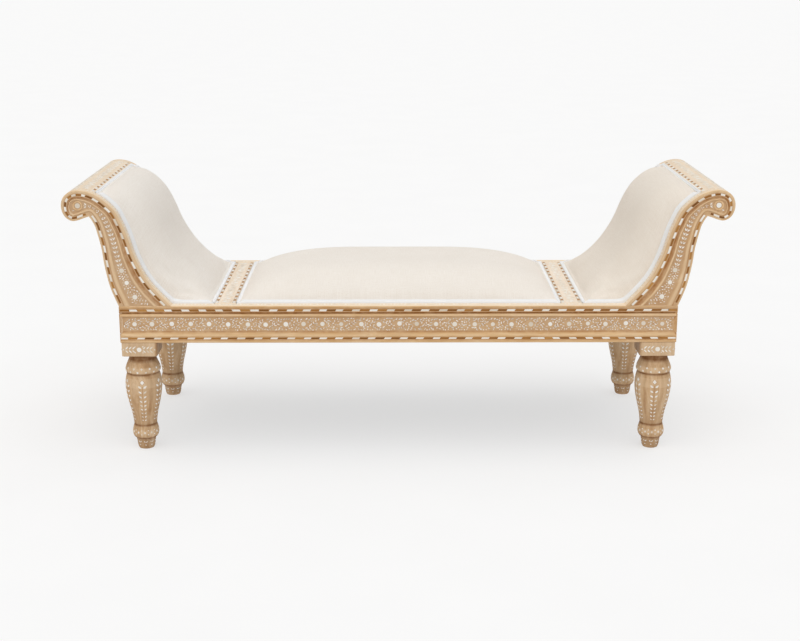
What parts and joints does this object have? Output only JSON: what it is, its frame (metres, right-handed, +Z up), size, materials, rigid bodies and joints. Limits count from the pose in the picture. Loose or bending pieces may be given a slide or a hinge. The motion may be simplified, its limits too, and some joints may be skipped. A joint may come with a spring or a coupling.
{
  "type": "scroll-end chaise longue",
  "caption": "Backless scroll-end daybed bench: inlaid light-wood frame on turned legs, S-shaped scroll arms with top rolls, and cream linen upholstery edged with white gimp.",
  "frame": {"origin": "on the floor under the centre of the seat", "axes": "+X along the length to the right as seen from the front, +Y to the rear, +Z up; the front faces -Y"},
  "size_m": [1.8126, 0.6016, 0.7411],
  "materials": {
    "carved_wood": "waxed honey-tan hardwood with fine grain",
    "bone": "polished bone inlay, in banding with dark wood between",
    "inner_wood": "sawn softwood",
    "plywood": "plain plywood",
    "steel": "zinc plated",
    "foam": "upholstery foam",
    "linen": "plain-woven cream linen",
    "gimp": "white cotton braid",
    "dust_cloth": "black cambric"
  },
  "bodies": {
    "root": {"cheek_dowels": "inner_wood", "corner_block_screws": "steel", "corner_blocks": "inner_wood", "divider_banding": "bone", "dust_cover": "dust_cloth", "end_rail_banding": "bone", "front_ledger": "inner_wood", "front_left_cheek": "carved_wood", "front_left_leg": "carved_wood", "front_rail": "carved_wood", "front_rail_banding": "bone", "front_right_cheek": "carved_wood", "front_right_leg": "carved_wood", "ledger_screws": "steel", "left_arm_board": "plywood", "left_arm_cleats": "inner_wood", "left_cheek_banding": "bone", "left_divider": "carved_wood", "left_end_cover": "linen", "left_end_foam": "foam", "left_end_gimp": "gimp", "left_end_rail": "carved_wood", "left_outer_board": "carved_wood", "left_seat_deck": "plywood", "left_top_roll": "carved_wood", "leg_bolt_nuts": "steel", "leg_bolt_washers": "steel", "leg_bolts": "steel", "rear_ledger": "inner_wood", "rear_left_cheek": "carved_wood", "rear_left_leg": "carved_wood", "rear_rail": "carved_wood", "rear_rail_banding": "bone", "rear_right_cheek": "carved_wood", "rear_right_leg": "carved_wood", "right_arm_board": "plywood", "right_arm_cleats": "inner_wood", "right_cheek_banding": "bone", "right_divider": "carved_wood", "right_end_cover": "linen", "right_end_foam": "foam", "right_end_gimp": "gimp", "right_end_rail": "carved_wood", "right_outer_board": "carved_wood", "right_seat_deck": "plywood", "right_top_roll": "carved_wood", "roll_banding": "bone", "roll_dowels": "inner_wood", "seat_bearers": "inner_wood", "seat_cover": "linen", "seat_deck": "plywood", "seat_foam": "foam", "seat_gimp": "gimp"}
  },
  "joints": []
}
